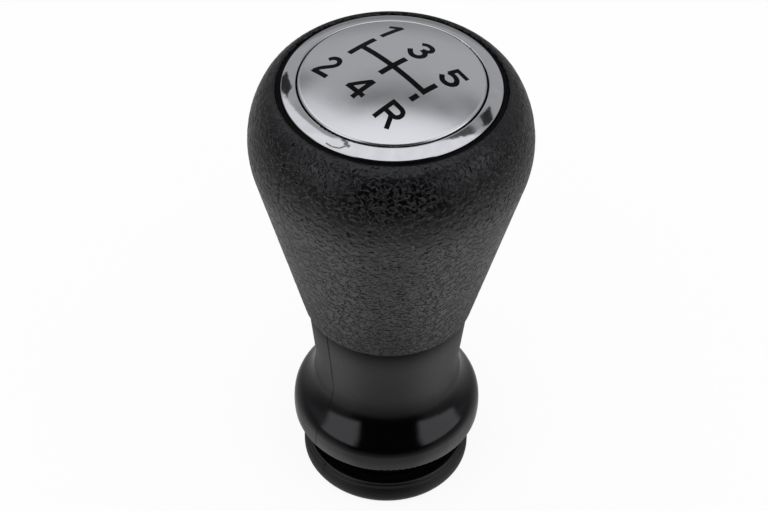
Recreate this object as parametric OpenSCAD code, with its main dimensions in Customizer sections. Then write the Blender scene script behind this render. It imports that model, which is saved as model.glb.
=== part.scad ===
// Gear shift knob: a soft grip on a hard moulded core, with a clip-in cap and a push-fit lever sleeve.
// Millimetres. The axis is Z and the foot stands on z = 0. The gate pattern reads forward along +Y.

/* [Foot and gaiter groove] */
// Outer diameter of the foot flange below the groove
foot_d = 31.8; // [30:0.1:33]
// Height of the foot flange
foot_h = 5.5; // [4.5:0.1:7]
// Rounding of the foot's top edge
foot_top_round = 1; // [0.5:0.1:1.5]
// Rounding of the foot's bottom edge
foot_bottom_round = 2; // [0.5:0.1:2.4]
// Diameter of the groove's floor, where the gaiter's collar grips
groove_d = 25.6; // [24.8:0.1:27]
// Height of the groove between the foot and the bulge's lip
groove_h = 6.5; // [5:0.1:8]

/* [Bulge and neck] */
// Largest diameter of the bulge above the groove
bulge_d = 35.5; // [34:0.1:37]
// Height of the bulge's largest diameter above its lip
bulge_rise = 2; // [1.4:0.1:2.6]
// Radius of the bulge's nearly upright side, in profile
bulge_side_r = 12.4; // [10:0.1:15]
// Radius of the bulge's shoulder, in profile
bulge_top_r = 5.3; // [4:0.1:6.5]
// Angle where the side turns into the shoulder
bulge_turn = 8; // [4:1:14]
// Rounding of the bulge's lip
lip_round = 0.5; // [0.3:0.1:0.9]
// Height from the bulge's largest diameter to the grip's lower edge
neck_h = 27.4; // [24:0.1:30]
// Diameter of the neck where it enters the grip
neck_d = 30; // [29:0.1:30.4]
// Taper of the neck, from the vertical
neck_taper = 6.2; // [4:0.1:8]
// Radius of the fillet between the neck and the bulge
neck_fillet_r = 11; // [8:0.1:13]

/* [Grip] */
// Largest diameter of the head
head_d = 50; // [48.5:0.1:52]
// Height from the grip's lower edge to the largest diameter
cone_h = 39.1; // [36:0.1:43]
// Diameter of the grip at its lower edge
waist_d = 31.4; // [31:0.1:33]
// Rounding of the grip's lower edge
waist_round = 0.5; // [0.2:0.1:0.6]
// Radius of the head's side, in profile
head_side_r = 19.3; // [17:0.1:21]
// Radius of the head's shoulder, in profile
head_top_r = 8.1; // [7:0.1:9.5]
// Angle where the head's side turns into its shoulder
head_turn = 26.3; // [22:0.1:30]
// Rounding of the grip's edge at its mouth
mouth_round = 0.3; // [0.2:0.05:0.5]
// Height over which the grip's skirt laps the neck
skirt_h = 2; // [1.5:0.1:3]
// Clearance of the bond between the grip and the core
bond_gap = 0.05; // [0.03:0.01:0.1]

/* [Core] */
// Outer diameter of the stem inside the grip
stem_d = 24.4; // [23:0.1:26]
// Reach of the cup's outer wall past the grip's mouth
cup_reach = 0.4; // [0.3:0.1:1]
// Height of the cup's straight wall, its seat included
cup_h = 11; // [9:0.1:13]
// Height of the flare between the stem and the cup
flare_h = 13; // [11:0.1:16]
// Wall of the cup and its flare
cup_wall = 1.8; // [1.4:0.1:2.4]
// Thickness of the seat ring under the cap
seat_t = 2.8; // [2:0.1:3.4]
// Width of the seat ring inside the clip windows
seat_w = 2.5; // [1.5:0.1:3.5]
// Depth of the cap's seat below the grip's mouth
mouth_depth = 5.4; // [5:0.1:6]
// Number of ribs that key the grip to the stem
rib_count = 6; // [4:1:8]
// Thickness of those ribs
rib_t = 1.8; // [1.2:0.1:2.6]
// Depth of the ribs at the stem's lower end
rib_h = 2.6; // [1.8:0.1:3]
// Diameter of the chamber round the sleeve's fingers
chamber_d = 19.6; // [18.8:0.1:20.4]
// Height of the ledge that the sleeve's collar sits on
ledge_z = 24; // [20:0.5:28]
// Height of the moulding pockets in the underside
pocket_h = 18; // [10:0.5:20]
// Width of the moulding pockets, from the sleeve's boss outwards
pocket_w = 2.1; // [1.5:0.1:2.3]
// Number of ribs between the moulding pockets
pocket_ribs = 6; // [4:1:8]
// Thickness of those ribs
pocket_rib_t = 1.6; // [1:0.1:2.4]
// Wall of the boss round the lever sleeve
boss_wall = 1.5; // [1.2:0.1:1.7]

/* [Lever sleeve] */
// Diameter of the bore that is pushed onto the lever
bore_d = 12; // [11:0.1:12.6]
// Depth of the bore, from the sleeve's mouth to its stop
bore_depth = 56; // [50:0.5:58]
// Wall of the sleeve
sleeve_wall = 1.5; // [1.2:0.1:1.7]
// Distance of the sleeve's mouth above the foot
sleeve_inset = 1; // [0.5:0.1:2]
// Width of the collar that rests on the ledge
collar_w = 1.9; // [1.2:0.1:2]
// Thickness of that collar
collar_t = 2.2; // [1.6:0.1:3]
// Height of the bead that holds the collar down
bead_h = 0.8; // [0.6:0.1:1.2]
// Reach of that bead out of the chamber's wall
bead_reach = 0.5; // [0.3:0.1:0.6]
// Number of slits that part the fingers
slit_count = 4; // [3:1:4]
// Width of each slit
slit_w = 1.4; // [1:0.1:1.8]
// Length of each slit
slit_h = 20; // [14:0.5:24]
// Reach of the stop at the finger tips into the bore
stop_reach = 0.9; // [0.6:0.1:1.3]
// Thickness of that stop
stop_t = 1.6; // [1.2:0.1:2.4]
// Wire of the spring ring
wire_d = 1.2; // [1:0.1:1.4]
// Distance of the spring ring below the finger tips
spring_drop = 5; // [4:0.1:8]
// Angle of the spring ring's gap
spring_gap = 30; // [20:1:50]
// Small clearance of parts that are pushed together
push_gap = 0.05; // [0.03:0.01:0.1]

/* [Cap] */
// Margin between the bright ring's outer edge and the head's side
ring_margin = 5.95; // [5.85:0.05:6.1]
// Width of the bright ring, from its outer edge to its hole
ring_w = 2.67; // [2.3:0.01:3.3]
// Gap between the face disc and the bright ring
disc_gap = 0.18; // [0.1:0.01:0.3]
// Height of the bright ring's outer edge above the grip's mouth
ring_stand = 0.2; // [0:0.1:0.4]
// Rounding of the bright ring's outer edge
ring_round = 0.3; // [0.2:0.05:0.4]
// Rise of the bright ring from its outer edge to its inner edge
ring_rise = 0.9; // [0.6:0.1:1.2]
// Radius of the bright ring's crown, in profile
ring_crown_r = 12; // [9:0.5:16]
// Rounding of the bright ring's inner edge
ring_lip = 0.3; // [0.15:0.05:0.4]
// Wall of the bright ring
ring_wall = 0.9; // [0.7:0.1:1]
// Diameter of the pegs under the bright ring
peg_d = 1.8; // [1.4:0.1:2]
// Height of the face disc's edge above the bright ring's inner edge
disc_lift = 0.15; // [0:0.05:0.3]
// Thickness of the face disc at its edge
disc_edge_t = 1.35; // [1.2:0.05:1.6]
// Rise of the face disc's dome from its edge to its middle
dome_rise = 3; // [2.6:0.1:3.4]
// Rounding of the face disc's edge
disc_round = 0.7; // [0.4:0.1:0.8]
// Thickness of the adhesive pad under the disc
pad_t = 0.9; // [0.6:0.1:1]
// Margin of the pad inside the disc's edge
pad_margin = 1.2; // [0.8:0.1:2]
// Thickness of the cap base's floor
base_t = 1.8; // [1.4:0.1:2]
// Wall of the cap base's rim
rim_wall = 0.8; // [0.6:0.05:0.9]
// Drop of the rim below the grip's mouth
rim_drop = 0.35; // [0.2:0.05:0.8]
// Gap between the cap base and the grip's mouth
mouth_gap = 0.1; // [0.05:0.01:0.2]
// Number of clip legs, and as many pegs between them
clip_count = 4; // [3:1:4]
// Width of each clip leg
clip_w = 6; // [4:0.1:7]
// Thickness of each clip leg
clip_t = 1.4; // [1.1:0.1:1.6]
// Reach of each clip's barb under the seat ring
barb = 0.8; // [0.5:0.1:1]
// Height of each clip's barb
barb_h = 2; // [1.5:0.1:2.6]
// Clearance of the clip legs in their windows
clip_gap = 0.2; // [0.1:0.05:0.3]

/* [Hidden] */
$fn = 120;
// Facets of the dome's arc, whose radius is much larger
dome_fn = 240;
// Overlap of cutting shapes past the faces that they cut
over = 1;

// Colours, as the photo shows them
GRIP_BLACK = [0.07, 0.07, 0.08];
GLOSS_BLACK = [0.05, 0.05, 0.06];
NYLON = [0.85, 0.83, 0.76];
SPRING = [0.6, 0.6, 0.62];
CHROME = [0.82, 0.83, 0.85];
SATIN = [0.68, 0.69, 0.71];
FOAM = [0.9, 0.9, 0.88];

function dir(a) = [cos(a), sin(a)];
function angle_of(v) = atan2(v[1], v[0]);

// Heights of the stack, from the foot up
lip_z = foot_h + groove_h;
bulge_z = lip_z + bulge_rise;
waist_z = bulge_z + neck_h;
skirt_z = waist_z + skirt_h;
head_z = waist_z + cone_h;

// Radii of the core's outside
foot_r = foot_d / 2;
groove_r = groove_d / 2;
bulge_r = bulge_d / 2;
neck_r = neck_d / 2;
stem_r = stem_d / 2;

// Bulge: the side's arc, the shoulder's arc and the lip's arc run into each other
side_c = [bulge_r - bulge_side_r, bulge_z];
shoulder_c = side_c + (bulge_side_r - bulge_top_r) * dir(bulge_turn);
lip_a = asin((lip_z + lip_round - bulge_z) / (bulge_side_r - lip_round));
lip_c = side_c + (bulge_side_r - lip_round) * dir(lip_a);

// Neck fillet: its circle touches the tapered neck and the bulge's shoulder
neck_out = dir(-neck_taper);
neck_down = dir(-90 - neck_taper);
fillet_from = [neck_r, waist_z] + neck_fillet_r * neck_out - shoulder_c;
fillet_along = fillet_from * neck_down;
fillet_reach = bulge_top_r + neck_fillet_r;
fillet_step = -fillet_along
              - sqrt(pow(fillet_along, 2) - (fillet_from * fillet_from - pow(fillet_reach, 2)));
fillet_c = shoulder_c + fillet_from + fillet_step * neck_down;
fillet_a = angle_of(fillet_c - shoulder_c);

// Grip: the head's side, its shoulder, the lower edge and the straight cone that touches two of them
head_c = [head_d / 2 - head_side_r, head_z];
crown_c = head_c + (head_side_r - head_top_r) * dir(head_turn);
waist_c = [waist_d / 2 - waist_round, waist_z + waist_round];
cone_v = head_c - waist_c;
cone_a = angle_of(cone_v) - acos((waist_round - head_side_r) / norm(cone_v));

// Cap: its radii, from the bright ring outwards and inwards
ring_r = head_d / 2 - ring_margin;
rim_inner_r = ring_r + push_gap;
rim_r = rim_inner_r + rim_wall;
mouth_r = rim_r + mouth_gap;
ring_hole_r = ring_r - ring_w;
disc_r = ring_hole_r - disc_gap;
peg_r = (ring_r + ring_hole_r) / 2;

// Cap: its heights, from the grip's mouth
crown_a = acos((mouth_r + mouth_round - crown_c[0]) / (head_top_r - mouth_round));
mouth_c = crown_c + (head_top_r - mouth_round) * dir(crown_a);
mouth_z = mouth_c[1] + mouth_round;
seat_z = mouth_z - mouth_depth;
floor_z = seat_z + base_t;
rim_z = mouth_z - rim_drop;
ring_edge_z = mouth_z + ring_stand;
ring_top_z = ring_edge_z + ring_rise;
disc_rim_z = ring_top_z + disc_lift;
disc_top_z = disc_rim_z + dome_rise;
disc_z = disc_rim_z - disc_edge_t;
plateau_z = disc_z - pad_t;

// Bright ring: centre of the crown's arc through its two edges, and the rounding of each
ring_outer_p = [ring_r, ring_edge_z];
ring_inner_p = [ring_hole_r, ring_top_z];
ring_chord = ring_inner_p - ring_outer_p;
ring_crown_c = (ring_outer_p + ring_inner_p) / 2
               + sqrt(pow(ring_crown_r, 2) - pow(norm(ring_chord) / 2, 2))
               * [-ring_chord[1], ring_chord[0]] / norm(ring_chord);
ring_round_a = acos((ring_r - ring_round - ring_crown_c[0]) / (ring_crown_r - ring_round));
ring_round_c = ring_crown_c + (ring_crown_r - ring_round) * dir(ring_round_a);
ring_edge_p = ring_round_c + ring_round * dir(ring_round_a);
ring_lip_x = ring_hole_r + ring_lip;
ring_lip_c = [ring_lip_x,
              ring_crown_c[1] + sqrt(pow(ring_crown_r - ring_lip, 2) - pow(ring_lip_x - ring_crown_c[0], 2))];
ring_lip_a = angle_of(ring_lip_c - ring_crown_c);
ring_lip_p = ring_lip_c + ring_lip * dir(ring_lip_a);

// Face disc: the dome's arc and the edge's arc run into each other
dome_r = (pow(disc_r, 2) + pow(dome_rise, 2)) / (2 * dome_rise);
dome_c = disc_top_z - dome_r;
disc_edge_x = disc_r - disc_round;
disc_edge_c = [disc_edge_x, dome_c + sqrt(pow(dome_r - disc_round, 2) - pow(disc_edge_x, 2))];
disc_edge_a = angle_of(disc_edge_c - [0, dome_c]);
disc_edge_p = disc_edge_c + disc_round * dir(disc_edge_a);

// Core: the flare and the cup above the stem, and the chamber inside them
cup_z = seat_z - cup_h;
flare_z = cup_z - flare_h;
seat_under_z = seat_z - seat_t;
chamber_r = chamber_d / 2;
cup_r = mouth_r + cup_reach;
cup_inner_r = cup_r - cup_wall;

// Lever sleeve
bore_r = bore_d / 2;
sleeve_r = bore_r + sleeve_wall;
boss_bore_r = sleeve_r + push_gap;
boss_r = boss_bore_r + boss_wall;
pocket_r = boss_r + pocket_w;
stop_z = sleeve_inset + bore_depth;
tip_z = stop_z + stop_t;
collar_r = sleeve_r + collar_w;
spring_z = tip_z - spring_drop;
wire_r = wire_d / 2;
spring_r = sleeve_r;

// Clips of the cap base, their windows and the seat ring's hole
window_out_r = cup_inner_r - barb - clip_gap;
clip_out_r = window_out_r - clip_gap;
clip_in_r = clip_out_r - clip_t;
window_in_r = clip_in_r - barb - clip_gap;
seat_hole_r = window_in_r - seat_w;

// Slice of a disc of radius r between two angles, with its tip in the middle
module slice(r, a0, a1) {
    far = 2 * r;
    intersection() {
        circle(r = r);
        polygon([[0, 0], far * dir(a0), far * dir((a0 + a1) / 2), far * dir(a1)]);
    }
}

// Upright wall of a profile between two radii and two heights
module band(r0, r1, z0, z1) {
    translate([r0, z0]) square([r1 - r0, z1 - z0]);
}

// Copies a shape n times round the axis, from a first angle on
module around(n, first = 0) {
    for (i = [0 : n - 1]) {
        rotate([0, 0, first + i * 360 / n]) children();
    }
}

// Profile of the foot flange
module foot_profile() {
    low = [foot_r - foot_bottom_round, foot_bottom_round];
    high = [foot_r - foot_top_round, foot_h - foot_top_round];
    polygon([[0, 0], [low[0], 0], [foot_r, low[1]], [foot_r, high[1]], [high[0], foot_h], [0, foot_h]]);
    translate(low) slice(foot_bottom_round, -90, 0);
    translate(high) slice(foot_top_round, 0, 90);
}

// Profile of the bulge and the neck
module bulge_profile() {
    lip_side = side_c + bulge_side_r * dir(lip_a);
    turn = side_c + bulge_side_r * dir(bulge_turn);
    meet = shoulder_c + bulge_top_r * dir(fillet_a);
    neck_touch = fillet_c - neck_fillet_r * neck_out;
    difference() {
        union() {
            polygon([[0, lip_z], [lip_c[0], lip_z], lip_side, turn, meet, neck_touch, [neck_r, waist_z],
                     [neck_r, skirt_z], [0, skirt_z]]);
            translate(lip_c) slice(lip_round, -90, lip_a);
            translate(side_c) slice(bulge_side_r, lip_a, bulge_turn);
            translate(shoulder_c) slice(bulge_top_r, bulge_turn, fillet_a);
        }
        translate(fillet_c) slice(neck_fillet_r, 180 - neck_taper, 180 + fillet_a);
    }
}

// Profile of the stem, the flare and the cup, with a margin for what surrounds them
module stem_profile(grow = 0) {
    polygon([[0, waist_z], [stem_r + grow, waist_z], [stem_r + grow, flare_z], [cup_r + grow, cup_z],
             [cup_r + grow, seat_z], [0, seat_z]]);
}

// Profile of the hollow inside the core, from the sleeve's boss up to the seat ring
module chamber_profile() {
    band(0, boss_bore_r, -over, ledge_z + over);
    difference() {
        union() {
            polygon([[0, ledge_z], [chamber_r, ledge_z], [chamber_r, flare_z], [cup_inner_r, cup_z],
                     [cup_inner_r, seat_under_z], [0, seat_under_z]]);
            band(0, seat_hole_r, seat_under_z - over, seat_z + over);
        }
        translate([chamber_r, ledge_z + collar_t + push_gap])
            polygon([[over, 0], [-bead_reach, 0], [-bead_reach, bead_h / 2], [0, bead_h], [over, bead_h]]);
    }
}

// One rib that keys the grip to the stem, with a margin for its slot
module key_rib(grow = 0) {
    low_z = skirt_z + rib_h;
    rotate([90, 0, 0])
        linear_extrude(height = rib_t + 2 * grow, center = true)
            polygon([[stem_r - over, low_z - grow], [stem_r + grow, low_z - grow],
                     [stem_r + rib_h + grow, low_z + rib_h], [cup_r - over + grow, cup_z],
                     [stem_r - over, cup_z]]);
}

// Moulding pocket all round the boss, before its ribs are put back
module pocket_ring() {
    difference() {
        translate([0, 0, -over]) cylinder(r = pocket_r, h = pocket_h + over);
        translate([0, 0, -2 * over]) cylinder(r = boss_r, h = pocket_h + 3 * over);
        around(pocket_ribs)
            translate([0, -pocket_rib_t / 2, -2 * over])
                cube([pocket_r + over, pocket_rib_t, pocket_h + 3 * over]);
    }
}

// Foot flange, the lowest stretch of the one hard moulding
module foot() {
    color(GLOSS_BLACK)
        difference() {
            rotate_extrude() foot_profile();
            rotate_extrude() chamber_profile();
            pocket_ring();
        }
}

// Wall behind the gaiter groove, the moulding's stretch between the foot and the bulge
module groove_wall() {
    color(GLOSS_BLACK)
        difference() {
            rotate_extrude() band(0, groove_r, foot_h, lip_z);
            rotate_extrude() chamber_profile();
            pocket_ring();
        }
}

// Rest of the moulding: bulge, neck, keyed stem and the cup that carries the cap
module knob_core() {
    color(GLOSS_BLACK)
        difference() {
            union() {
                rotate_extrude() {
                    bulge_profile();
                    stem_profile();
                }
                around(rib_count) key_rib();
            }
            rotate_extrude() chamber_profile();
            pocket_ring();
            around(clip_count)
                translate([window_in_r, -clip_w / 2 - clip_gap, seat_under_z - over])
                    cube([window_out_r - window_in_r, clip_w + 2 * clip_gap, seat_t + 2 * over]);
        }
}

// Outline of the grip, solid to the axis
module grip_profile() {
    cone_low = waist_c + waist_round * dir(cone_a);
    cone_high = head_c + head_side_r * dir(cone_a);
    turn = head_c + head_side_r * dir(head_turn);
    rim = crown_c + head_top_r * dir(crown_a);
    polygon([[0, waist_z], [waist_c[0], waist_z], cone_low, cone_high, turn, rim, [mouth_r, mouth_c[1]],
             [0, mouth_c[1]]]);
    translate(waist_c) slice(waist_round, -90, cone_a);
    translate(head_c) slice(head_side_r, cone_a, head_turn);
    translate(crown_c) slice(head_top_r, head_turn, crown_a);
    translate(mouth_c) slice(mouth_round, crown_a, 180);
}

// Soft grip, moulded round the core's stem and cup and lapped over the neck
module grip() {
    color(GRIP_BLACK)
        difference() {
            rotate_extrude()
                difference() {
                    grip_profile();
                    stem_profile(bond_gap);
                    band(0, neck_r + bond_gap, waist_z - over, skirt_z);
                    band(0, mouth_r, seat_z - over, mouth_z + over);
                }
            around(rib_count) key_rib(bond_gap);
        }
}

// Nylon sleeve that is pushed onto the lever, with slit fingers and a stop at their tips
module lever_sleeve() {
    color(NYLON)
        difference() {
            rotate_extrude()
                difference() {
                    union() {
                        band(bore_r, sleeve_r, sleeve_inset, tip_z);
                        band(bore_r, collar_r, ledge_z, ledge_z + collar_t);
                        band(bore_r - stop_reach, sleeve_r, stop_z, tip_z);
                    }
                    translate([spring_r, spring_z]) circle(r = wire_r + push_gap);
                }
            around(slit_count)
                translate([0, -slit_w / 2, tip_z - slit_h]) cube([sleeve_r + over, slit_w, slit_h + over]);
        }
}

// Round wire spring that closes the fingers, with its gap
module spring_ring() {
    color(SPRING)
        rotate([0, 0, spring_gap / 2])
            rotate_extrude(angle = 360 - spring_gap) translate([spring_r, spring_z]) circle(r = wire_r);
}

// Profile of one clip leg with its barb
module clip_profile() {
    hook_z = seat_under_z - push_gap;
    polygon([[clip_in_r, seat_z + over], [clip_in_r, hook_z - barb_h], [clip_out_r, hook_z - barb_h],
             [clip_out_r + barb, hook_z - barb_h / 2], [clip_out_r + barb, hook_z], [clip_out_r, hook_z],
             [clip_out_r, seat_z + over]]);
}

// Cap base: floor, plateau for the disc, rim round the bright ring, and clip legs into the core
module cap_base() {
    color(GLOSS_BLACK)
        difference() {
            union() {
                rotate_extrude()
                    difference() {
                        union() {
                            band(0, rim_r, seat_z, floor_z);
                            band(rim_inner_r, rim_r, seat_z, rim_z);
                            band(0, ring_hole_r - push_gap, seat_z, plateau_z);
                        }
                        band(0, window_in_r - base_t, seat_z - over, plateau_z - base_t);
                    }
                around(clip_count)
                    rotate([90, 0, 0]) linear_extrude(height = clip_w, center = true) clip_profile();
            }
            around(clip_count, 180 / clip_count)
                translate([peg_r, 0, seat_z - over])
                    cylinder(d = peg_d + 2 * push_gap, h = base_t + 2 * over);
        }
}

// Bright ring: a crowned channel with pegs that sit in the cap base's floor
module chrome_ring() {
    color(CHROME) {
        rotate_extrude()
            difference() {
                union() {
                    intersection() {
                        band(ring_lip_p[0], ring_edge_p[0], floor_z, ring_top_z + over);
                        translate(ring_crown_c) circle(r = ring_crown_r);
                    }
                    polygon([[ring_hole_r, floor_z], [ring_r, floor_z], [ring_r, ring_round_c[1]],
                             ring_edge_p, ring_lip_p, [ring_hole_r, ring_lip_c[1]]]);
                    translate(ring_round_c) slice(ring_round, 0, ring_round_a);
                    translate(ring_lip_c) slice(ring_lip, ring_lip_a, 180);
                }
                band(ring_hole_r + ring_wall, ring_r - ring_wall, floor_z - over, ring_edge_z - ring_wall);
            }
        around(clip_count, 180 / clip_count)
            translate([peg_r, 0, seat_z + push_gap])
                cylinder(d = peg_d, h = ring_edge_z - ring_wall + over / 2 - seat_z - push_gap);
    }
}

// Foam pad that holds the disc on the cap base
module adhesive_pad() {
    color(FOAM) translate([0, 0, plateau_z]) cylinder(r = disc_r - pad_margin, h = pad_t);
}

// Face disc: flat below, domed above, with a rounded edge
module face_disc() {
    color(SATIN)
        rotate_extrude() {
            polygon([[0, disc_z], [disc_r, disc_z], [disc_r, disc_edge_c[1]], disc_edge_p,
                     [0, disc_edge_p[1]]]);
            translate(disc_edge_c) slice(disc_round, 0, disc_edge_a);
            intersection() {
                translate([0, dome_c]) circle(r = dome_r, $fn = dome_fn);
                band(0, disc_edge_p[0], disc_edge_p[1] - disc_round / 2, disc_top_z + over);
            }
        }
}

foot();
groove_wall();
knob_core();
grip();
lever_sleeve();
spring_ring();
cap_base();
chrome_ring();
adhesive_pad();
face_disc();
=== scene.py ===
"""Looks of the gear shift knob: grained grip, black core, bright cap ring, printed gate disc."""

import math

import bpy
import numpy as np
from mathutils import Matrix, Vector, noise


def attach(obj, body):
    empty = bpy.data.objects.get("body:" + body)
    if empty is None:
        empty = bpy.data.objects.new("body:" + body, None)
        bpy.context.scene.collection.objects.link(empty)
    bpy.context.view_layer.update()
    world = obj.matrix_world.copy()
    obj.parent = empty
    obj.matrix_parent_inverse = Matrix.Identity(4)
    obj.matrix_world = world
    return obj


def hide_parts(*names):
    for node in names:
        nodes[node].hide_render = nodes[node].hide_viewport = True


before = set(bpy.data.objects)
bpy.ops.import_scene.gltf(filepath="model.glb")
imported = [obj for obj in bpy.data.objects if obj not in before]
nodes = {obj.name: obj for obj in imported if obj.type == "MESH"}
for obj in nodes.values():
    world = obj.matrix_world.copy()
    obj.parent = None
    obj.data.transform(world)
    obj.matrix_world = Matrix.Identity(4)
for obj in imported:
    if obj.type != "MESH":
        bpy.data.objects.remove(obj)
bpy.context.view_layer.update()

MM = 0.001
UP = Vector((0.0, 0.0, 1.0))
# Along the floor, as the photograph's camera sees them
BACK = Vector((-0.755, 0.656, 0.0))
RIGHT = Vector((0.656, 0.755, 0.0))


# Profiles, with the sizes of the CAD source in millimetres
def unit(degrees):
    a = math.radians(degrees)
    return np.array([math.cos(a), math.sin(a)])


def arc(centre, r, a0, a1, steps):
    """Points of a profile arc."""
    return [np.array(centre) + r * unit(a0 + (a1 - a0) * i / steps) for i in range(steps + 1)]


WAIST_Z, WAIST_R, WAIST_ROUND = 41.4, 15.7, 0.5
HEAD_Z, HEAD_R, HEAD_SIDE_R, HEAD_TOP_R, HEAD_TURN = 80.5, 24.995, 19.3, 8.1, 26.3
MOUTH_R, MOUTH_ROUND = 20.0, 0.15
head_c = np.array([HEAD_R - HEAD_SIDE_R, HEAD_Z])
crown_c = head_c + (HEAD_SIDE_R - HEAD_TOP_R) * unit(HEAD_TURN)
waist_c = np.array([WAIST_R - WAIST_ROUND, WAIST_Z + WAIST_ROUND])
cone_v = head_c - waist_c
cone_a = math.degrees(
    math.atan2(cone_v[1], cone_v[0])
    - math.acos((WAIST_ROUND - HEAD_SIDE_R) / np.linalg.norm(cone_v))
)
crown_a = math.degrees(
    math.acos((MOUTH_R + MOUTH_ROUND - crown_c[0]) / (HEAD_TOP_R - MOUTH_ROUND))
)
mouth_c = crown_c + (HEAD_TOP_R - MOUTH_ROUND) * unit(crown_a)

# Inside of the grip: the core's cup, stem and skirt, and the play round them
SEAT_Z, CUP_R, CUP_H, STEM_R, STEM_DROP = 86.69, 20.4, 11, 12.2, 24
SKIRT_R, SKIRT_Z, PLAY = 15.0, 43.4, 0.05

FOOT_R, FOOT_H, FOOT_ROUND, FOOT_LOW_Z = 15.9, 5.5, 1.0, 2.3
LIP_Z, LIP_ROUND, BULGE_Z, BULGE_R = 12.0, 0.5, 14.0, 17.75
SIDE_R, SIDE_TURN, SHOULDER_R, FILLET_R = 12.4, 8.0, 5.3, 11.0
NECK_R, TAPER = 15.0, 6.2
side_c = np.array([BULGE_R - SIDE_R, BULGE_Z])
shoulder_c = side_c + (SIDE_R - SHOULDER_R) * unit(SIDE_TURN)
neck_down = unit(-90 - TAPER)
fillet_from = np.array([NECK_R, WAIST_Z]) + FILLET_R * unit(-TAPER) - shoulder_c
fillet_along = fillet_from @ neck_down
fillet_step = -fillet_along - math.sqrt(
    fillet_along**2 - (fillet_from @ fillet_from - (SHOULDER_R + FILLET_R) ** 2)
)
fillet_c = shoulder_c + fillet_from + fillet_step * neck_down
fillet_v = fillet_c - shoulder_c
fillet_a = math.degrees(math.atan2(fillet_v[1], fillet_v[0]))

DOME_R, DOME_TOP = 45.24, 96.34


def dome_z(x, y):
    return DOME_TOP - DOME_R + math.sqrt(DOME_R**2 - x * x - y * y)


def distances(points):
    """Distance of each point of a polyline from its start, along the line."""
    return np.concatenate([[0], np.cumsum(np.linalg.norm(np.diff(points, axis=0), axis=1))])


def resample(points, step):
    """Evenly spaced points along a polyline, about step apart, ends kept."""
    points = np.array(points)
    along = distances(points)
    n = max(int(round(along[-1] / step)), 1)
    at = np.linspace(0, along[-1], n + 1)
    return np.stack([np.interp(at, along, points[:, i]) for i in (0, 1)], axis=1)


def outward(points):
    """Unit normals on the outer side of a profile that runs upwards."""
    step = np.gradient(points, axis=0)
    normal = np.stack([step[:, 1], -step[:, 0]], axis=1)
    return normal / np.linalg.norm(normal, axis=1)[:, None]


def new_mesh(name, verts, faces, smooth=True):
    mesh = bpy.data.meshes.new(name)
    mesh.from_pydata([tuple(v) for v in verts], [], faces)
    mesh.validate()
    mesh.polygons.foreach_set("use_smooth", [smooth] * len(mesh.polygons))
    mesh.update()
    obj = bpy.data.objects.new(name, mesh)
    bpy.context.scene.collection.objects.link(obj)
    return obj


def join(parts):
    """Vertices and faces of several parts as one mesh."""
    verts, faces = [], []
    for v, f in parts:
        base = len(verts)
        verts += list(v)
        faces += [tuple(i + base for i in face) for face in f]
    return verts, faces


# Shader helpers
NOISE_LOW, NOISE_HIGH = 0.3, 0.7  # where nearly all of a noise texture's values lie


def material(name):
    mat = bpy.data.materials.new(name)
    mat.use_nodes = True
    tree = mat.node_tree
    bsdf = tree.nodes["Principled BSDF"]
    bsdf.inputs["Specular IOR Level"].default_value = 0.5
    return mat, tree, bsdf


def coords(tree):
    return tree.nodes.new("ShaderNodeTexCoord").outputs["Object"]


def axis_value(tree, vector, axis):
    """One component of a vector socket, or its dot product with a given direction."""
    if isinstance(axis, str):
        node = tree.nodes.new("ShaderNodeSeparateXYZ")
        tree.links.new(vector, node.inputs[0])
        return node.outputs[axis]
    node = tree.nodes.new("ShaderNodeVectorMath")
    node.operation = "DOT_PRODUCT"
    node.inputs[1].default_value = axis
    tree.links.new(vector, node.inputs[0])
    return node.outputs["Value"]


def noise_tex(tree, co, scale, detail=3.0, rough=0.55, distortion=0.0):
    tex = tree.nodes.new("ShaderNodeTexNoise")
    settings = {"Scale": scale, "Detail": detail, "Roughness": rough, "Distortion": distortion}
    for key, value in settings.items():
        tex.inputs[key].default_value = value
    tree.links.new(co, tex.inputs["Vector"])
    return tex.outputs["Fac"]


def ramp(tree, source, stops):
    node = tree.nodes.new("ShaderNodeValToRGB")
    el = node.color_ramp.elements
    while len(el) > len(stops):
        el.remove(el[-1])
    while len(el) < len(stops):
        el.new(1.0)
    for e, (pos, val) in zip(el, stops):
        e.position = pos
        e.color = (*val, 1.0) if isinstance(val, tuple) else (val, val, val, 1.0)
    tree.links.new(source, node.inputs["Fac"])
    return node.outputs["Color"]


def remap(tree, source, lo, hi, to_lo, to_hi, soft=False):
    node = tree.nodes.new("ShaderNodeMapRange")
    if soft:
        node.interpolation_type = "SMOOTHSTEP"
    for key, value in (("From Min", lo), ("From Max", hi), ("To Min", to_lo), ("To Max", to_hi)):
        node.inputs[key].default_value = value
    tree.links.new(source, node.inputs["Value"])
    return node.outputs["Result"]


def spread(tree, source, to_lo, to_hi):
    """A noise texture's values as values from to_lo to to_hi."""
    return remap(tree, source, NOISE_LOW, NOISE_HIGH, to_lo, to_hi)


def calc(tree, op, a, b=None):
    node = tree.nodes.new("ShaderNodeMath")
    node.operation = op
    for i, v in enumerate((a, b)):
        if v is None:
            continue
        if isinstance(v, (int, float)):
            node.inputs[i].default_value = v
        else:
            tree.links.new(v, node.inputs[i])
    return node.outputs[0]


def mul(tree, a, b):
    return calc(tree, "MULTIPLY", a, b)


def add(tree, a, b):
    return calc(tree, "ADD", a, b)


def blend_values(tree, fac, a, b):
    """a where fac is 0, b where it is 1."""
    return add(tree, mul(tree, fac, b), mul(tree, calc(tree, "SUBTRACT", 1.0, fac), a))


def axis_distance(tree, co):
    """Distance from the lever's axis."""
    x, y = axis_value(tree, co, "X"), axis_value(tree, co, "Y")
    return calc(tree, "SQRT", add(tree, mul(tree, x, x), mul(tree, y, y)))


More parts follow.
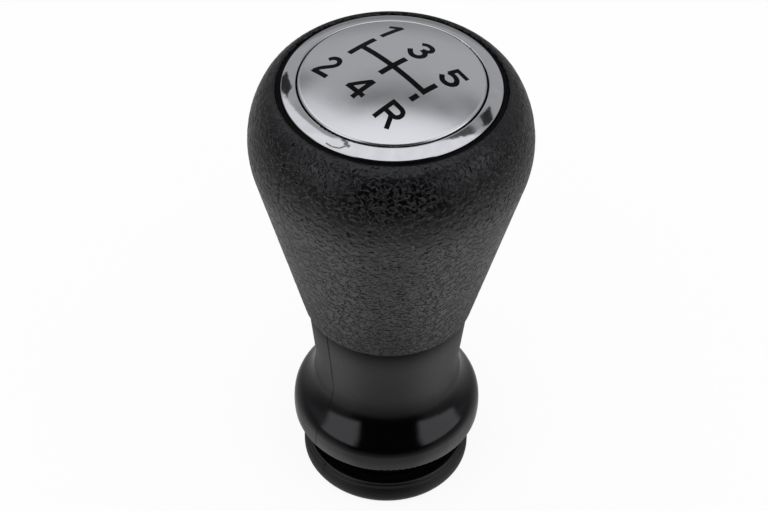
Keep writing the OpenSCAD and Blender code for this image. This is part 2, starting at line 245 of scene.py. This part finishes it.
def tint(tree, fac, a, b):
    """Colour socket a where fac is 0, colour b where it is 1."""
    node = tree.nodes.new("ShaderNodeMixRGB")
    tree.links.new(fac, node.inputs[0])
    tree.links.new(a, node.inputs[1])
    node.inputs[2].default_value = (*b, 1.0)
    return node.outputs[0]


def bump(tree, height, distance, strength=1.0, normal=None):
    node = tree.nodes.new("ShaderNodeBump")
    node.inputs["Strength"].default_value = strength
    node.inputs["Distance"].default_value = distance
    tree.links.new(height, node.inputs["Height"])
    if normal is not None:
        tree.links.new(normal, node.inputs["Normal"])
    return node.outputs["Normal"]


def dress(tree, bsdf, shade, rough, normal):
    """Links the sockets that a material has made to its shader."""
    for key, socket in (("Base Color", shade), ("Roughness", rough), ("Normal", normal)):
        tree.links.new(socket, bsdf.inputs[key])


def between(tree, source, low, high, lo=NOISE_LOW, hi=NOISE_HIGH):
    """Colours from low to high along a value."""
    return ramp(tree, source, [(lo, low), (hi, high)])


# Materials; heights and distances in metres, as the shaders see them
# Heights between which a finish changes
NECK_SATIN, FOOT_DULL = (0.0220, 0.0236), (0.0050, 0.0060)
NECK_SINK, FOOT_CREST = (0.0345, 0.0414), (0.0015, 0.0050)
MOUTH_FADE, CONE_DULL = (0.0908, 0.0922), (0.042, 0.062)
# Distances from the axis over which the ring's inner wall and the disc's edge are painted dark:
# painted shade in the gap round the disc
RING_WALL_SHADE, DISC_EDGE_SHADE = (0.01640, 0.01650), (0.01610, 0.01618)
# Distance from the grip's parting line over which its grain comes up
LINE_FADE = (0.0002, 0.0007)


def core_material():
    """Moulded black plastic: satin neck, polished bulge, dull foot, faint flow marks."""
    mat, tree, bsdf = material("core_black")
    co = coords(tree)
    flow = noise_tex(tree, co, 90.0)
    fine = noise_tex(tree, co, 2600.0, rough=0.7)
    height = axis_value(tree, co, "Z")
    satin = remap(tree, height, *NECK_SATIN, 0.0, 1.0, soft=True)
    foot = remap(tree, height, *FOOT_DULL, 1.0, 0.0)
    polished, dull = spread(tree, fine, 0.09, 0.14), spread(tree, fine, 0.37, 0.45)
    body_rough = blend_values(tree, satin, polished, dull)
    rough = blend_values(tree, foot, body_rough, spread(tree, fine, 0.42, 0.52))
    # the neck turns in under the grip, and the foot's upper edge is worn round
    sink = calc(tree, "POWER", remap(tree, height, *NECK_SINK, 0.0, 1.0), 3.0)
    crest = calc(tree, "POWER", remap(tree, height, *FOOT_CREST, 0.0, 1.0), 2.0)
    turned = add(tree, mul(tree, sink, -1.1), mul(tree, mul(tree, crest, foot), -0.9))
    wavy = bump(tree, turned, 0.0010, 1.0, bump(tree, flow, 0.00003, 0.35))
    grain = mul(tree, fine, add(tree, mul(tree, satin, 0.8), 0.2))
    shade = between(tree, flow, (0.0006, 0.0006, 0.0007), (0.0014, 0.0014, 0.0015))
    dress(tree, bsdf, shade, rough, bump(tree, grain, 0.000008, 0.6, wavy))
    return mat


def rim_material():
    """Black carrier of the cap: satin."""
    mat, tree, bsdf = material("rim_black")
    bsdf.inputs["Specular IOR Level"].default_value = 0.06
    co = coords(tree)
    flow = noise_tex(tree, co, 300.0)
    fine = noise_tex(tree, co, 3000.0, rough=0.7)
    shade = between(tree, flow, (0.001, 0.001, 0.0012), (0.0024, 0.0024, 0.0026))
    dress(tree, bsdf, shade, spread(tree, fine, 0.24, 0.36), bump(tree, fine, 0.00001, 0.6))
    return mat


def grip_material():
    """Black soft moulding with leather grain: worm-shaped plateaus with rounded sides."""
    mat, tree, bsdf = material("grip_leather_grain")
    co = coords(tree)
    cells = noise_tex(tree, co, 1060.0, 0.4, 0.4, distortion=0.7)
    pores = noise_tex(tree, co, 3400.0, 2.0, 0.6)
    patch = noise_tex(tree, co, 110.0, 2.0, 0.5)
    height = axis_value(tree, co, "Z")
    plateau = remap(tree, cells, 0.39, 0.60, 0.0, 1.0, soft=True)
    # the grain fades at the parting line and towards the mouth
    across = calc(tree, "ABSOLUTE", axis_value(tree, co, "X"))
    seam_fade = remap(tree, across, *LINE_FADE, 0.25, 1.0, soft=True)
    mouth_fade = remap(tree, height, *MOUTH_FADE, 1.0, 0.35, soft=True)
    relief = add(tree, plateau, mul(tree, pores, 0.12))
    relief = mul(tree, relief, mul(tree, seam_fade, mouth_fade))
    mix = add(tree, mul(tree, plateau, 0.6), mul(tree, patch, 0.4))
    shade = between(tree, mix, (0.0006, 0.0006, 0.0007), (0.0018, 0.0018, 0.0021), 0.1, 0.9)
    # the lower cone is duller than the head
    dull = remap(tree, height, *CONE_DULL, 0.18, 0.0, soft=True)
    rough = add(tree, remap(tree, mix, 0.1, 0.9, 0.28, 0.20), dull)
    dress(tree, bsdf, shade, rough, bump(tree, relief, 0.00028))
    return mat


# Nick in the ring's plating: start, end and half width in millimetres, seen from above
NICK = [
    ((5.41, -15.87), (6.85, -15.68), 0.44),
    ((6.84, -15.56), (6.44, -16.3), 0.38),
    ((6.36, -16.13), (7.63, -15.91), 0.44),
    ((3.94, -18.1), (5.35, -17.88), 0.2),
    ((5.26, -17.91), (6.58, -17.19), 0.2),
    ((6.46, -17.3), (7.08, -16.09), 0.24),
]


def hairline(tree, co, start, end, half):
    """Mask of a straight scratch on the cap, which fades at its sides and ends."""
    a, b = np.array(start) * MM, np.array(end) * MM
    length = float(np.linalg.norm(b - a))
    u = (b - a) / length
    along = axis_value(tree, co, Vector((u[0], u[1], 0.0)))
    along = calc(tree, "SUBTRACT", along, float(a @ u) + length / 2)
    across = axis_value(tree, co, Vector((-u[1], u[0], 0.0)))
    across = calc(tree, "SUBTRACT", across, float(u[0] * a[1] - u[1] * a[0]))
    ends = calc(tree, "ABSOLUTE", along)
    sides = calc(tree, "ABSOLUTE", across)
    ends = remap(tree, ends, length * 0.4, length * 0.5, 1.0, 0.0)
    return mul(tree, ends, remap(tree, sides, 0.0, half * MM, 1.0, 0.0))


def chrome_material():
    """Polished plating: slight orange peel, a nick, and painted shade on the inner wall."""
    mat, tree, bsdf = material("chrome_plating")
    bsdf.inputs["Metallic"].default_value = 1.0
    co = coords(tree)
    peel = noise_tex(tree, co, 420.0, 2.0)
    hair = noise_tex(tree, co, 2600.0, 4.0, 0.7)
    nick = 0.0
    for line in NICK:
        nick = calc(tree, "MAXIMUM", hairline(tree, co, *line), nick)
    # painted shade: the ring's inner wall is painted dark, standing in for the shade in the gap
    # round the disc
    wall_shade = remap(tree, axis_distance(tree, co), *RING_WALL_SHADE, 1.0, 0.0)
    plate = between(tree, peel, (0.70, 0.70, 0.685), (0.76, 0.76, 0.745))
    shade = tint(tree, wall_shade, tint(tree, nick, plate, (0.05, 0.05, 0.055)), (0.12, 0.12, 0.125))
    dress(tree, bsdf, shade, spread(tree, hair, 0.04, 0.09), bump(tree, peel, 0.00003, 0.4))
    return mat


def disc_material():
    """Satin silver lacquer: fine metallic flake, a soft sheen and painted shade on its edge."""
    mat, tree, bsdf = material("satin_silver")
    bsdf.inputs["Metallic"].default_value = 1.0
    co = coords(tree)
    flake = noise_tex(tree, co, 5200.0, rough=0.7)
    cloud = noise_tex(tree, co, 240.0)
    mix = add(tree, mul(tree, cloud, 0.5), mul(tree, flake, 0.5))
    face = between(tree, mix, (0.80, 0.80, 0.78), (0.86, 0.86, 0.84))
    # painted shade: the disc's edge is painted dark, standing in for the shade in the gap round it
    edge = remap(tree, axis_distance(tree, co), *DISC_EDGE_SHADE, 0.0, 1.0)
    shade = tint(tree, edge, face, (0.10, 0.10, 0.105))
    sheen = bump(tree, flake, 0.000004, 0.4, bump(tree, cloud, 0.00001, 0.4))
    dress(tree, bsdf, shade, spread(tree, mix, 0.22, 0.27), sheen)
    return mat


def ink_material():
    """Pad-printed black ink: thin, slightly uneven and a little glossy."""
    mat, tree, bsdf = material("gate_ink")
    bsdf.inputs["Specular IOR Level"].default_value = 0.07
    uneven = noise_tex(tree, coords(tree), 900.0)
    shade = between(tree, uneven, (0.0015, 0.0015, 0.0015), (0.004, 0.004, 0.004))
    dress(tree, bsdf, shade, spread(tree, uneven, 0.34, 0.46), bump(tree, uneven, 0.000008, 0.5))
    return mat


def hidden_material(name, tone, rough, metallic=0.0):
    """Finish of the pieces inside: nylon, foam tape and spring wire."""
    mat, tree, bsdf = material(name)
    bsdf.inputs["Metallic"].default_value = metallic
    grain = noise_tex(tree, coords(tree), 1400.0, 4.0, 0.65)
    shade = between(tree, grain, tuple(c * 0.85 for c in tone), tone)
    rough = spread(tree, grain, rough, rough + 0.12)
    dress(tree, bsdf, shade, rough, bump(tree, grain, 0.00002, 0.6))
    return mat


CORE = core_material()
GRIP = grip_material()
INK = ink_material()
finishes = {
    "foot": CORE,
    "groove_wall": CORE,
    "knob_core": CORE,
    "grip": GRIP,
    "cap_base": rim_material(),
    "chrome_ring": chrome_material(),
    "face_disc": disc_material(),
    "lever_sleeve": hidden_material("nylon", (0.72, 0.70, 0.62), 0.4),
    "spring_ring": hidden_material("spring_wire", (0.5, 0.5, 0.52), 0.25, 1.0),
    "adhesive_pad": hidden_material("foam_tape", (0.8, 0.8, 0.77), 0.8),
}
for name, obj in nodes.items():
    obj.data.materials.clear()
    obj.data.materials.append(finishes[name])


# Grip with its moulded grain and its parting line, in millimetres
ROW_STEP, COLUMNS = 0.36, 424
LINE_ANGLES, LINE_MARGIN = (0.006, 0.014, 0.024), 0.004
CELL_SIZE, CELL_SEED, CELL_EDGE, CELL_DEPTH = 1.2, 3.0, 0.3, 0.05
PARTING_HALF, PARTING_DEPTH = 0.3, 0.10


def cell_border(points):
    """Distance to the border between jittered cells, in cells."""
    out = np.empty(len(points))
    shift = Vector((CELL_SEED, 0, 0))
    for i, p in enumerate(points):
        at = Vector(p) / CELL_SIZE + shift
        d, _ = noise.voronoi(at, distance_metric="DISTANCE", exponent=2.5)
        out[i] = d[1] - d[0]
    return out


def ring_angles():
    """Even angles, with more of them on both sides of the parting line at +Y and -Y."""
    angles = list(np.linspace(0, 2 * math.pi, COLUMNS, endpoint=False))
    for middle in (math.pi / 2, 3 * math.pi / 2):
        angles = [a for a in angles if abs(a - middle) > LINE_ANGLES[-1] + LINE_MARGIN]
        angles += [middle] + [middle + s * e for e in LINE_ANGLES for s in (-1, 1)]
    return np.array(sorted(angles))


def revolve(profile, ang):
    """A profile's points, or its normals, turned to all the angles."""
    flat = profile[:, :1]
    return np.stack([flat * np.cos(ang), flat * np.sin(ang), profile[:, 1:] + 0 * ang], axis=2)


def rise(value, start, length):
    """0 up to start, 1 from start + length on."""
    return np.clip((value - start) / length, 0, 1)


def grip_piece():
    """Closed revolve of the grip: grained outside, and an inside that follows the core."""
    outer = arc(waist_c, WAIST_ROUND, -90, cone_a, 4)
    outer += arc(head_c, HEAD_SIDE_R, cone_a, HEAD_TURN, 60)
    outer += arc(crown_c, HEAD_TOP_R, HEAD_TURN, crown_a, 24)[1:]
    outer += arc(mouth_c, MOUTH_ROUND, crown_a, 180, 6)
    outer = resample(outer, ROW_STEP)
    inner = np.array(
        [
            [MOUTH_R, SEAT_Z],
            [CUP_R + PLAY, SEAT_Z],
            [CUP_R + PLAY, SEAT_Z - CUP_H],
            [STEM_R + PLAY, SEAT_Z - STEM_DROP],
            [STEM_R + PLAY, SKIRT_Z],
            [SKIRT_R + PLAY, SKIRT_Z],
            [SKIRT_R + PLAY, WAIST_Z],
        ]
    )
    rows = np.vstack([outer, inner])
    ang = ring_angles()
    n_out, n, total = len(outer), len(ang), len(rows)
    base = revolve(rows, ang)
    cell = cell_border(base[:n_out].reshape(-1, 3)).reshape(n_out, n)
    along = distances(outer)
    left = along[-1] - along
    foot = rise(along, 0.3, 0.5)
    grained = rise(left, 1.6, 1.2) * foot
    parted = rise(left, 0.4, 0.6) * foot
    across = np.abs(base[:n_out, :, 0])
    depth = np.clip(1.0 - cell / CELL_EDGE, 0, 1) ** 1.5 * CELL_DEPTH * grained[:, None]
    depth *= rise(across, 0.0, 2 * PARTING_HALF)
    depth += np.clip(1.0 - across / PARTING_HALF, 0, 1) * PARTING_DEPTH * parted[:, None]
    base[:n_out] -= revolve(outward(outer), ang) * depth[:, :, None]
    faces = []
    for i in range(total):
        j = (i + 1) % total
        for k in range(n):
            m = (k + 1) % n
            faces.append((i * n + k, i * n + m, j * n + m, j * n + k))
    return new_mesh("grip_grained", base.reshape(-1, 3) * MM, faces)


grip = grip_piece()
grip.data.materials.append(GRIP)
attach(grip, "root")
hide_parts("grip")


# Parting line of the core's mould, a hair of flash on both sides, in millimetres
SEAM_STEP, SEAM_HALF, SEAM_SUNK, BODY_SEAM_H, FOOT_SEAM_H = 0.4, 0.14, -0.03, 0.10, 0.09


def seam_strip(profile, side, height):
    """Low ridge with a pointed back along a profile; side is 1 for +Y and -1 for -Y."""
    pts = resample(profile, SEAM_STEP)
    verts, faces = [], []
    for i, (p, o) in enumerate(zip(pts, outward(pts))):
        end = 0.2 if i in (0, len(pts) - 1) else 1.0
        swell = 1.0 + 0.5 * noise.noise(Vector((p[1] * 0.35, side * 4.0, 1.7)))
        ridge = height * end * swell
        for x, h in ((-SEAM_HALF * end, SEAM_SUNK), (0.0, ridge), (SEAM_HALF * end, SEAM_SUNK)):
            verts.append((x, side * (p[0] + o[0] * h), p[1] + o[1] * h))
    for i in range(len(pts) - 1):
        for k in range(3):
            m = (k + 1) % 3
            quad = (3 * i + k, 3 * i + m, 3 * i + 3 + m, 3 * i + 3 + k)
            faces.append(quad if side > 0 else quad[::-1])
    last = 3 * (len(pts) - 1)
    ends = [(2, 1, 0), (last, last + 1, last + 2)]
    if side < 0:
        ends = [(0, 1, 2), (last + 2, last + 1, last)]
    return verts, faces + ends


def seam_piece():
    lip_a = math.degrees(math.asin((LIP_Z + LIP_ROUND - BULGE_Z) / (SIDE_R - LIP_ROUND)))
    body = arc(side_c, SIDE_R, lip_a + 2, SIDE_TURN, 8)
    body += arc(shoulder_c, SHOULDER_R, SIDE_TURN, fillet_a, 24)[1:]
    body += arc(fillet_c, FILLET_R, 180 + fillet_a, 180 - TAPER, 24)[1:]
    body.append(np.array([NECK_R, WAIST_Z]) + 0.1 * neck_down)
    edge_z = FOOT_H - FOOT_ROUND
    foot = [np.array([FOOT_R, FOOT_LOW_Z]), np.array([FOOT_R, edge_z])]
    foot += arc((FOOT_R - FOOT_ROUND, edge_z), FOOT_ROUND, 0, 80, 8)[1:]
    parts = []
    for side in (1, -1):
        parts.append(seam_strip(body, side, BODY_SEAM_H))
        parts.append(seam_strip(foot, side, FOOT_SEAM_H))
    verts, faces = join(parts)
    obj = new_mesh("core_seam", np.array(verts) * MM, faces)
    obj.data.materials.append(CORE)
    return obj


seam = seam_piece()
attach(seam, "root")


# Printed gate pattern, laid on the dome as thin ink, in millimetres
INK_STEP, INK_LIFT, INK_LAYER, INK_SUNK = 0.45, 0.024, 0.004, 0.02
CURVE_STEPS, LEAST_MITRE = 6, 0.45


def curve(points):
    """Catmull-Rom curve through points."""
    p = [np.array(q, float) for q in points]
    p = [2 * p[0] - p[1]] + p + [2 * p[-1] - p[-2]]
    out = []
    for a, b, c, d in zip(p[:-3], p[1:-2], p[2:-1], p[3:]):
        for s in range(CURVE_STEPS):
            t = s / CURVE_STEPS
            square, cube = 2 * a - 5 * b + 4 * c - d, 3 * b - a - 3 * c + d
            out.append(0.5 * (2 * b + (c - a) * t + square * t * t + cube * t**3))
    return out + [p[-2]]


def ribbon(points, width, lift):
    """Closed strip of ink along a line, with mitred corners, lying on the dome."""
    p = np.array(points, float)
    line = [p[0]]
    for a, b in zip(p[:-1], p[1:]):
        n = max(1, int(np.linalg.norm(b - a) / INK_STEP))
        line += [a + (b - a) * (k + 1) / n for k in range(n)]
    line = np.array(line)
    d = np.diff(line, axis=0)
    d /= np.linalg.norm(d, axis=1)[:, None]
    verts = []
    for i, q in enumerate(line):
        before, after = d[max(i - 1, 0)], d[min(i, len(d) - 1)]
        mid = before + after
        mid /= np.linalg.norm(mid)
        side = np.array([-mid[1], mid[0]])
        mitre = max(float(side @ np.array([-after[1], after[0]])), LEAST_MITRE)
        reach = width / 2 / mitre
        for s in (1, -1):
            x, y = q + side * reach * s
            z = dome_z(x, y)
            verts += [(x, y, z + lift), (x, y, z - INK_SUNK)]
    faces = []
    for i in range(len(line) - 1):
        a, b = 4 * i, 4 * i + 4
        faces += [(a + 2, b + 2, b, a), (a, b, b + 1, a + 1)]
        faces += [(a + 3, b + 3, b + 2, a + 2), (a + 1, b + 1, b + 3, a + 3)]
    end = 4 * (len(line) - 1)
    faces += [(0, 1, 3, 2), (end, end + 2, end + 3, end + 1)]
    return verts, faces


# Strokes: points and width
GATE = [
    ([(-8.43, 3.42), (-8.43, -2.46)], 1.1),
    ([(-0.37, 3.38), (-0.37, -2.48)], 1.1),
    ([(-8.0, 0.37), (7.53, 0.37), (7.53, 3.22)], 1.02),
    ([(7.53, -0.90), (7.53, -2.60)], 1.04),
]
ONE = [
    ([(-8.47, 4.84), (-8.47, 9.82)], 0.95),
    ([(-8.62, 9.42), (-10.22, 8.28)], 0.8),
]
TWO_BOW = [(-9.93, -5.72), (-9.60, -5.12), (-8.98, -4.80), (-8.30, -4.80), (-7.72, -5.15)]
TWO_NECK = [(-7.50, -5.80), (-7.75, -6.45), (-8.40, -7.10), (-9.20, -7.80), (-9.85, -8.62)]
TWO = [
    (curve(TWO_BOW + TWO_NECK), 0.9),
    ([(-10.34, -8.98), (-6.66, -8.98)], 0.84),
    ([(-9.55, -8.25), (-10.12, -9.05)], 0.8),
]
THREE_TOP = [(-2.12, 8.62), (-1.62, 9.12), (-0.85, 9.34), (-0.08, 9.18), (0.36, 8.68)]
THREE_WAIST = [(0.32, 8.12), (-0.12, 7.66), (-0.80, 7.46)]
THREE_BOWL = [(-0.80, 7.46), (0.05, 7.28), (0.58, 6.82), (0.72, 6.20), (0.48, 5.58)]
THREE_TAIL = [(-0.05, 5.16), (-0.75, 5.06), (-1.45, 5.34), (-2.28, 6.02)]
THREE = [
    (curve(THREE_TOP + THREE_WAIST), 0.9),
    (curve(THREE_BOWL + THREE_TAIL), 0.95),
]
FOUR = [
    ([(0.46, -4.46), (0.46, -9.42)], 0.95),
    ([(0.22, -4.78), (-2.06, -7.86)], 0.8),
    ([(-2.44, -7.98), (1.74, -7.98)], 0.85),
]
FIVE_BOWL = [(6.18, 7.22), (6.85, 7.46), (7.55, 7.48), (8.30, 7.22), (8.82, 6.62)]
FIVE_TAIL = [(8.88, 5.98), (8.50, 5.32), (7.75, 4.99), (6.95, 5.10), (6.02, 5.88)]
FIVE = [
    ([(9.06, 9.02), (6.56, 9.02), (6.34, 7.12)], 0.84),
    (curve(FIVE_BOWL + FIVE_TAIL), 0.94),
]
R_BOWL = [(8.05, -5.06), (8.62, -5.22), (9.0, -5.62), (9.12, -6.08)]
R_BOWL += [(9.0, -6.56), (8.62, -6.94), (8.05, -7.10)]
REVERSE = [
    ([(6.14, -9.50), (6.14, -4.64)], 0.88),
    ([(6.0, -5.06)] + curve(R_BOWL) + [(6.0, -7.10)], 0.86),
    ([(7.82, -7.0), (9.36, -9.50)], 0.86),
]


def print_piece(name, strokes):
    """One sign of the print; each stroke lies a little higher than the one before."""
    verts, faces = join(
        ribbon(points, width, INK_LIFT + INK_LAYER * i) for i, (points, width) in enumerate(strokes)
    )
    obj = new_mesh(name, np.array(verts) * MM, faces, smooth=False)
    obj.data.materials.append(INK)
    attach(obj, "root")


for name, strokes in (
    ("print_gate", GATE),
    ("print_1", ONE),
    ("print_2", TWO),
    ("print_3", THREE),
    ("print_4", FOUR),
    ("print_5", FIVE),
    ("print_r", REVERSE),
):
    print_piece(name, strokes)


def aim_matrix(place, right, up, look):
    """Pose of a camera or lamp, which looks along its own -Z."""
    turn = Matrix(((right.x, up.x, -look.x), (right.y, up.y, -look.y), (right.z, up.z, -look.z)))
    return Matrix.Translation(place) @ turn.to_4x4()


# Camera, fitted to the photograph
CAM_POS = Vector((0.23341, -0.20876, 0.36098))
CAM_RIGHT = Vector((0.6558, 0.7548, 0.0116)).normalized()
CAM_LOOK = Vector((-0.5317, 0.4728, -0.7027))
CAM_LENS = 113.4
look = (CAM_LOOK - CAM_LOOK.dot(CAM_RIGHT) * CAM_RIGHT).normalized()
cam = bpy.data.cameras.new("camera")
cam.lens = CAM_LENS
cam.sensor_width = 36.0
cam.sensor_fit = "HORIZONTAL"
cam.clip_start = 0.01
cam_obj = bpy.data.objects.new("camera", cam)
bpy.context.scene.collection.objects.link(cam_obj)
cam_obj.matrix_world = aim_matrix(CAM_POS, CAM_RIGHT, CAM_RIGHT.cross(look), look)
bpy.context.scene.camera = cam_obj


# Floor, world and lamps
FLOOR_HALF, FLOOR_GLOW = 3.0, 0.9


def mix_shader(tree, fac, a, b):
    mix = tree.nodes.new("ShaderNodeMixShader")
    for i, socket in enumerate((fac, a, b)):
        tree.links.new(socket, mix.inputs[i])
    return mix.outputs[0]


def floor_piece():
    """White paper with a soft shadow; reflections show the studio's lower half instead."""
    corners = [(x * FLOOR_HALF, y * FLOOR_HALF, 0) for x, y in ((-1, -1), (1, -1), (1, 1), (-1, 1))]
    obj = new_mesh("floor", corners, [(0, 1, 2, 3)], smooth=False)
    mat, tree, bsdf = material("floor_paper")
    tree.nodes.remove(bsdf)
    diffuse = tree.nodes.new("ShaderNodeBsdfDiffuse")
    shade = between(tree, noise_tex(tree, coords(tree), 30.0, 2.0), 0.925, 0.935)
    tree.links.new(shade, diffuse.inputs[0])
    path = tree.nodes.new("ShaderNodeLightPath")
    glow = tree.nodes.new("ShaderNodeEmission")
    clear = tree.nodes.new("ShaderNodeBsdfTransparent")
    share = mul(tree, path.outputs["Is Camera Ray"], FLOOR_GLOW)
    paper = mix_shader(tree, share, diffuse.outputs[0], glow.outputs[0])
    out = mix_shader(tree, path.outputs["Is Glossy Ray"], paper, clear.outputs[0])
    tree.links.new(out, tree.nodes["Material Output"].inputs["Surface"])
    obj.data.materials.append(mat)


# Panels: azimuth from the back towards the right, elevation, edge softness (degrees), level
PANELS = [
    (-96, -38, 28, 66, 2.0, 0.86),
    (52, 88, 46, 66, 4.0, 0.55),
    (-27, 54, 53, 64, 1.5, 0.09),
    (-36, -27, 21, 35, 0.6, 0.03),
    (34, 51, 41, 48, 0.6, 0.03),
    (-146, -104, 0, 32, 4.0, 1.2),
    (90, 140, 0, 32, 4.0, 1.2),
]
# Level of the floor and the room by elevation, in the three directions
FRONT = [(-90, 0.60), (-55, 0.57), (-40, 0.48), (-30, 0.32), (-20, 0.12), (-10, 0.02)]
FRONT += [(0, 0.003), (90, 0.002)]
SIDES = [(-90, 0.80), (-50, 0.78), (-40, 0.72), (-30, 0.57), (-20, 0.29), (-10, 0.18)]
SIDES += [(2, 0.17), (16, 0.37), (90, 0.30)]
BEHIND = [(-90, 0.50), (-30, 0.36), (-10, 0.30), (0, 0.24), (6, 0.30), (11, 0.44)]
BEHIND += [(40, 0.43), (46, 0.36), (90, 0.36)]
# Azimuths, left and right alike, between which behind turns to sides, and sides to front
BEHIND_TO_SIDES, SIDES_TO_FRONT = (52, 92), (118, 148)
# Soft box overhead: soft edges in heights of the box, its lowest elevations and its level
BOX_BACK, BOX_FRONT, BOX_SIDE = (0.39, 0.45), (-1.12, -1.04), (1.15, 1.3)
BOX_LOW, BOX_LEVEL = (42, 47), 0.95


def soft_step(tree, value, edge, to_lo, to_hi):
    """From to_lo to to_hi across an edge given in degrees."""
    lo, hi = (math.radians(e) for e in edge)
    return remap(tree, value, lo, hi, to_lo, to_hi, soft=True)


def window(tree, value, lo, hi, soft):
    """1 between lo and hi degrees, 0 outside, with soft edges."""
    start = soft_step(tree, value, (lo - soft, lo + soft), 0.0, 1.0)
    return mul(tree, start, soft_step(tree, value, (hi - soft, hi + soft), 1.0, 0.0))


def world_light():
    """White for the camera; else a studio, grey behind, dark in front, with soft panels."""
    world = bpy.data.worlds.new("studio")
    bpy.context.scene.world = world
    world.use_nodes = True
    tree = world.node_tree
    tree.nodes.clear()
    co = tree.nodes.new("ShaderNodeTexCoord").outputs["Generated"]
    ahead, beside, above = (axis_value(tree, co, axis) for axis in (BACK, RIGHT, "Z"))
    azimuth = calc(tree, "ARCTAN2", beside, ahead)
    elevation = calc(tree, "ARCSINE", above)
    part = remap(tree, elevation, -math.pi / 2, math.pi / 2, 0.0, 1.0)
    front, sides, behind = (
        ramp(tree, part, [((e + 90) / 180, v) for e, v in stops])
        for stops in (FRONT, SIDES, BEHIND)
    )
    turn = calc(tree, "ABSOLUTE", azimuth)
    level = blend_values(tree, soft_step(tree, turn, BEHIND_TO_SIDES, 0.0, 1.0), behind, sides)
    level = blend_values(tree, soft_step(tree, turn, SIDES_TO_FRONT, 0.0, 1.0), level, front)
    for a0, a1, e0, e1, soft, value in PANELS:
        mask = window(tree, azimuth, a0, a1, soft)
        mask = mul(tree, mask, window(tree, elevation, e0, e1, soft))
        level = blend_values(tree, mask, level, value)
    height = calc(tree, "MAXIMUM", above, 0.05)
    along = calc(tree, "DIVIDE", ahead, height)
    side = calc(tree, "ABSOLUTE", calc(tree, "DIVIDE", beside, height))
    box = remap(tree, along, *BOX_BACK, 1.0, 0.0, soft=True)
    box = mul(tree, box, remap(tree, along, *BOX_FRONT, 0.0, 1.0, soft=True))
    box = mul(tree, box, remap(tree, side, *BOX_SIDE, 1.0, 0.0, soft=True))
    box = mul(tree, box, soft_step(tree, elevation, BOX_LOW, 0.0, 1.0))
    level = blend_values(tree, box, level, BOX_LEVEL)
    room = tree.nodes.new("ShaderNodeBackground")
    tree.links.new(level, room.inputs["Strength"])
    sky = between(tree, part, (1, 1, 1), (0.91, 0.92, 1.0), 0.48, 0.52)
    tree.links.new(sky, room.inputs["Color"])
    paper = tree.nodes.new("ShaderNodeBackground")
    paper.inputs["Color"].default_value = (1, 1, 1, 1)
    path = tree.nodes.new("ShaderNodeLightPath")
    out = tree.nodes.new("ShaderNodeOutputWorld")
    shader = mix_shader(tree, path.outputs["Is Camera Ray"], room.outputs[0], paper.outputs[0])
    tree.links.new(shader, out.inputs["Surface"])


def lamp(name, place, aim, size, level):
    """Square soft box for the diffuse light; places are (right, back, up), level its radiance."""
    pos, target = (RIGHT * x + BACK * y + UP * z for x, y, z in (place, aim))
    look = (target - pos).normalized()
    across = (RIGHT - look * RIGHT.dot(look)).normalized()
    data = bpy.data.lights.new(name, "AREA")
    data.shape = "RECTANGLE"
    data.size = data.size_y = size
    data.energy = level * size * size * math.pi
    obj = bpy.data.objects.new(name, data)
    bpy.context.scene.collection.objects.link(obj)
    obj.matrix_world = aim_matrix(pos, across, across.cross(look), look)
    obj.visible_glossy = False


floor_piece()
world_light()
lamp("top_box", (0.0, -0.2, 1.2), (0.0, -0.2, 0.0), 1.6, 0.7)
lamp("fill", (0.0, -0.9, 1.3), (0.0, 0.0, 0.05), 1.2, 1.2)

bpy.context.scene.view_settings.view_transform = "Standard"
